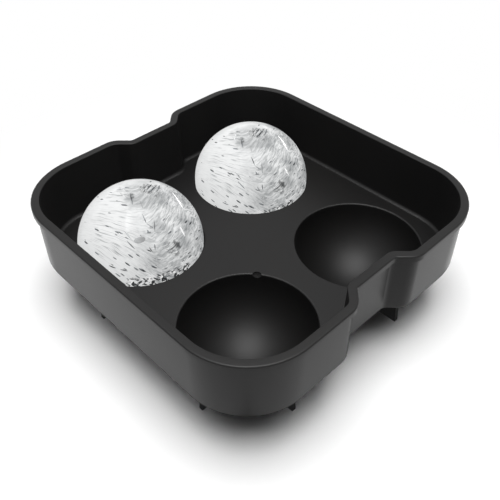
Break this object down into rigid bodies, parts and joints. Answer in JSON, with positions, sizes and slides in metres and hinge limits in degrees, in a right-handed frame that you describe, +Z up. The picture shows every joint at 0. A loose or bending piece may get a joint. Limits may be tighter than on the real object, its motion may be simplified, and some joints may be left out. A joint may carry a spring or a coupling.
{
  "type": "ice ball mould",
  "caption": "Square silicone mould tray with half-ball cavities, a raised wall with grip recesses and ribbed feet, holding ice balls.",
  "frame": {"origin": "on the ground under the middle of the tray", "axes": "+Z up, X from one grip recess to the other with the ice balls on the -X side, Y along the two sides without a recess"},
  "size_m": [0.118, 0.118, 0.0473],
  "materials": {
    "silicone": "matte",
    "ice": "clear with frozen-in cracks and bubbles"
  },
  "bodies": {
    "root": {"tray": "silicone", "ice_ball_left": "ice", "ice_ball_back": "ice"}
  },
  "joints": []
}
